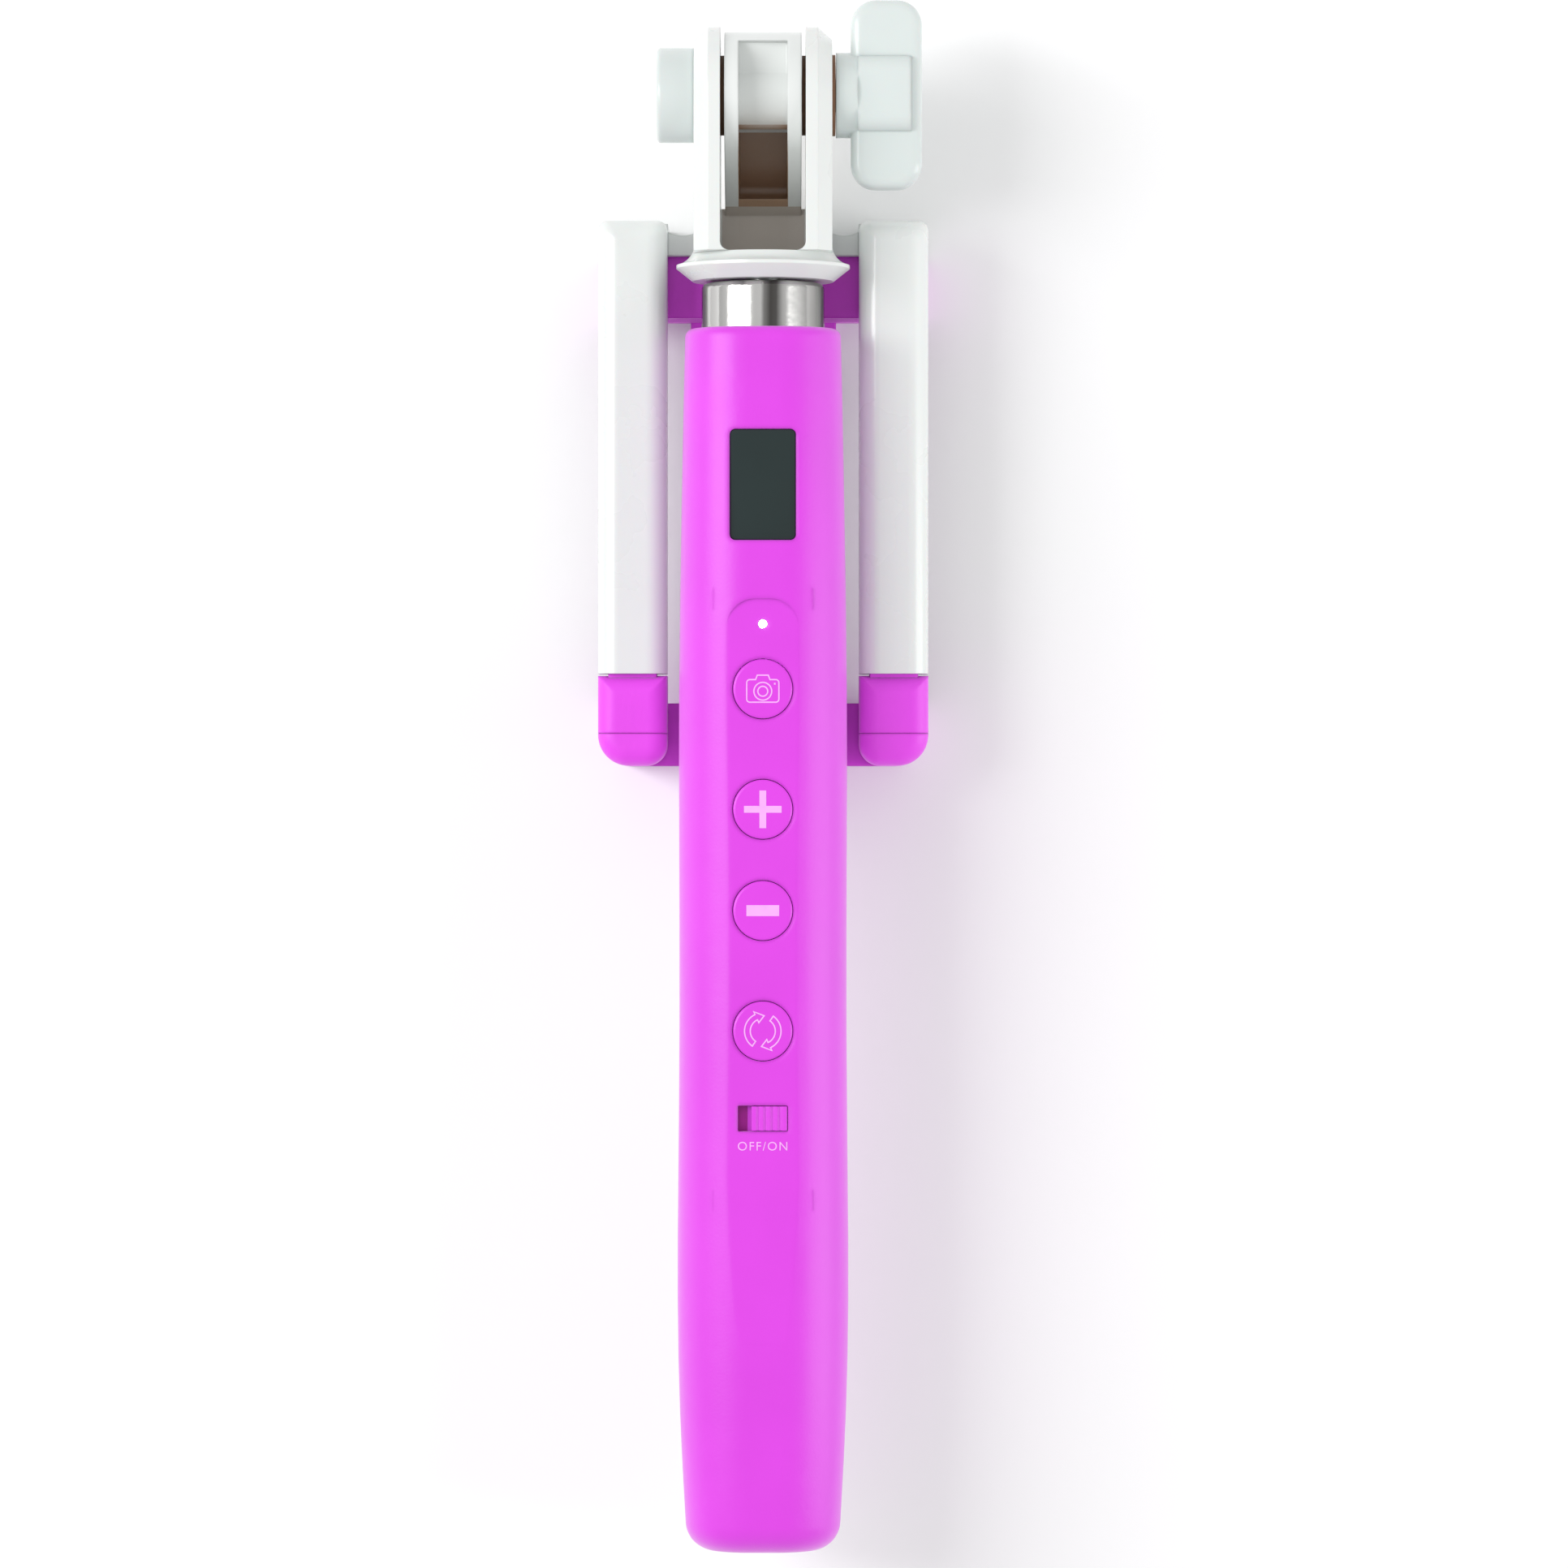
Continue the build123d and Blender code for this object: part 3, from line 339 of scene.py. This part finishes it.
def camera_icon():
    """Camera outline with a two-ring lens and a small light."""
    shoulder_y = 1.35
    body = rounded(-2.35, -1.95, 2.35, shoulder_y, 0.45)
    hump = [(1.05, shoulder_y), (0.8, 2.0), (-0.8, 2.0), (-1.05, shoulder_y)]
    on_top = [p for p in body if p[1] > shoulder_y - 0.01]
    upper = [p for p in on_top if p[0] > 0] + hump + [p for p in on_top if p[0] < 0]
    lower = [p for p in body if p[1] <= shoulder_y - 0.01]
    upper_right = [p for p in lower if p[0] > 0 and p[1] > 0]
    rest = [p for p in lower if not (p[0] > 0 and p[1] > 0)]
    case = outline_strip(upper_right + upper + rest, LINE_WIDTH, closed=True)
    lens = ring(0, -0.35, 1.3, LINE_WIDTH) + ring(0, -0.35, 0.72, LINE_WIDTH)
    return case + lens + bar(1.75, 0.75, 0.26, 0.26)


def arrow_arc(start, end, radius, half_width):
    """Outline of one clockwise arc arrow, from angle start down to angle end, in degrees."""
    steps = 18
    head = 30  # degrees taken by the arrowhead
    outer, inner = [], []
    for i in range(steps + 1):
        a = math.radians(start + (end + head - start) * i / steps)
        outer.append(((radius + half_width) * math.cos(a), (radius + half_width) * math.sin(a)))
        inner.append(((radius - half_width) * math.cos(a), (radius - half_width) * math.sin(a)))
    shoulder = math.radians(end + head)
    tip = math.radians(end)
    flare = half_width * 2.1
    points = outer
    points.append(((radius + flare) * math.cos(shoulder), (radius + flare) * math.sin(shoulder)))
    points.append((radius * math.cos(tip), radius * math.sin(tip)))
    points.append(((radius - flare) * math.cos(shoulder), (radius - flare) * math.sin(shoulder)))
    return outline_strip(points + list(reversed(inner)), LINE_WIDTH, closed=True)


def flip_icon():
    """Two arrows chasing each other clockwise."""
    return arrow_arc(235, 85, 2.25, 0.42) + arrow_arc(55, -95, 2.25, 0.42)


def print_icon(name, quads, node, body):
    """Lays flat quads, in mm round the centre of a node, on its front face."""
    low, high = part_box(node)
    cx, cy = (low[0] + high[0]) / 2, (low[1] + high[1]) / 2
    z0, z1 = high[2] + INK_LIFT, high[2] + INK_TOP
    bm = bmesh.new()
    for quad in quads:
        rows = [[bm.verts.new((cx + x * MM, cy + y * MM, z)) for x, y in quad] for z in (z0, z1)]
        bm.faces.new(rows[1])
        bm.faces.new(list(reversed(rows[0])))
        for i in range(4):
            j = (i + 1) % 4
            bm.faces.new((rows[0][i], rows[0][j], rows[1][j], rows[1][i]))
    bmesh.ops.recalc_face_normals(bm, faces=bm.faces)
    mesh = bpy.data.meshes.new(name)
    bm.to_mesh(mesh)
    bm.free()
    mesh.materials.append(ink.mat)
    piece = bpy.data.objects.new(name, mesh)
    bpy.context.collection.objects.link(piece)
    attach(piece, body)


plus = bar(0, 0, 5.5, 1.0) + bar(0, 1.625, 1.0, 2.25) + bar(0, -1.625, 1.0, 2.25)
print_icon("icon_camera", camera_icon(), "shutter_button", "shutter_button")
print_icon("icon_plus", plus, "zoom_in_button", "zoom_in_button")
print_icon("icon_minus", bar(0, 0, 4.8, 1.6), "zoom_out_button", "zoom_out_button")
print_icon("icon_flip", flip_icon(), "flip_button", "flip_button")

# OFF/ON lettering on the flat band, just below the slide switch
slider_low, slider_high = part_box("switch_slider")
button_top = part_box("flip_button")[1][2]
BAND_BELOW_BUTTON = 0.3 * MM
WORDS_ABOVE_BAND = 0.02 * MM
WORDS_BELOW_SLIDER = 4.1 * MM
words_y = (slider_low[1] + slider_high[1]) / 2 - WORDS_BELOW_SLIDER
words = bpy.data.curves.new("switch_words", "FONT")
words.body = "OFF/ON"
words.size = 1.82 * MM
words.space_character = 1.18
words.align_x = "CENTER"
words.align_y = "CENTER"
words.extrude = 0.012 * MM
words.materials.append(ink.mat)
lettering = bpy.data.objects.new("switch_words", words)
lettering.location = (0, words_y, button_top - BAND_BELOW_BUTTON + WORDS_ABOVE_BAND)
bpy.context.collection.objects.link(lettering)
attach(lettering, "handle")

# ---------------------------------------------------------------- floor, lights and camera
floor_mesh = bpy.data.meshes.new("floor")
FLOOR_REACH = 2.0
FLOOR_CORNERS = [(x * FLOOR_REACH, y * FLOOR_REACH, 0) for x, y in ((-1, -1), (1, -1), (1, 1), (-1, 1))]
floor_mesh.from_pydata(FLOOR_CORNERS, [], [(0, 1, 2, 3)])
floor_look = Shader("floor_paper", (0.975, 0.975, 0.98), 0.7, vary=0.01, scale=8.0, relief=0.01)
floor_mesh.materials.append(floor_look.mat)
floor = bpy.data.objects.new("floor", floor_mesh)
floor.location = (0, 0, -0.02 * MM)
bpy.context.collection.objects.link(floor)
floor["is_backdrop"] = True

world = bpy.data.worlds.new("studio")
world.use_nodes = True
world.node_tree.nodes["Background"].inputs["Color"].default_value = (1, 1, 1, 1)
world.node_tree.nodes["Background"].inputs["Strength"].default_value = 0.64
bpy.context.scene.world = world


def softbox(name, place, size, power):
    """A rectangular area light that faces the middle of the object."""
    light = bpy.data.lights.new(name, "AREA")
    light.shape = "RECTANGLE"
    light.size, light.size_y = size
    light.energy = power
    lamp_object = bpy.data.objects.new(name, light)
    lamp_object.location = place
    aim = Vector((0, 0, 0.02)) - Vector(place)
    lamp_object.rotation_euler = aim.to_track_quat("-Z", "Y").to_euler()
    bpy.context.collection.objects.link(lamp_object)


softbox("key", (-0.75, 0.2, 0.75), (0.35, 0.8), 6.6)
softbox("fill", (1.0, -0.1, 0.42), (0.4, 0.9), 4.4)

low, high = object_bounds()
AXIS_Z = (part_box("tube_1")[0][2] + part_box("tube_1")[1][2]) / 2
LENS = 155.0
SENSOR = 36.0
MARGIN = 1.0155  # height of the picture over the length of the stick
distance = (high[1] - low[1]) * MARGIN * LENS / SENSOR
camera_data = bpy.data.cameras.new("camera")
camera_data.lens = LENS
camera_data.sensor_width = SENSOR
camera_data.clip_end = 20
camera = bpy.data.objects.new("camera", camera_data)
camera.location = (3.1 * MM, -1.5 * MM, AXIS_Z + distance)
bpy.context.collection.objects.link(camera)
bpy.context.scene.camera = camera
bpy.context.scene.view_settings.view_transform = "Standard"
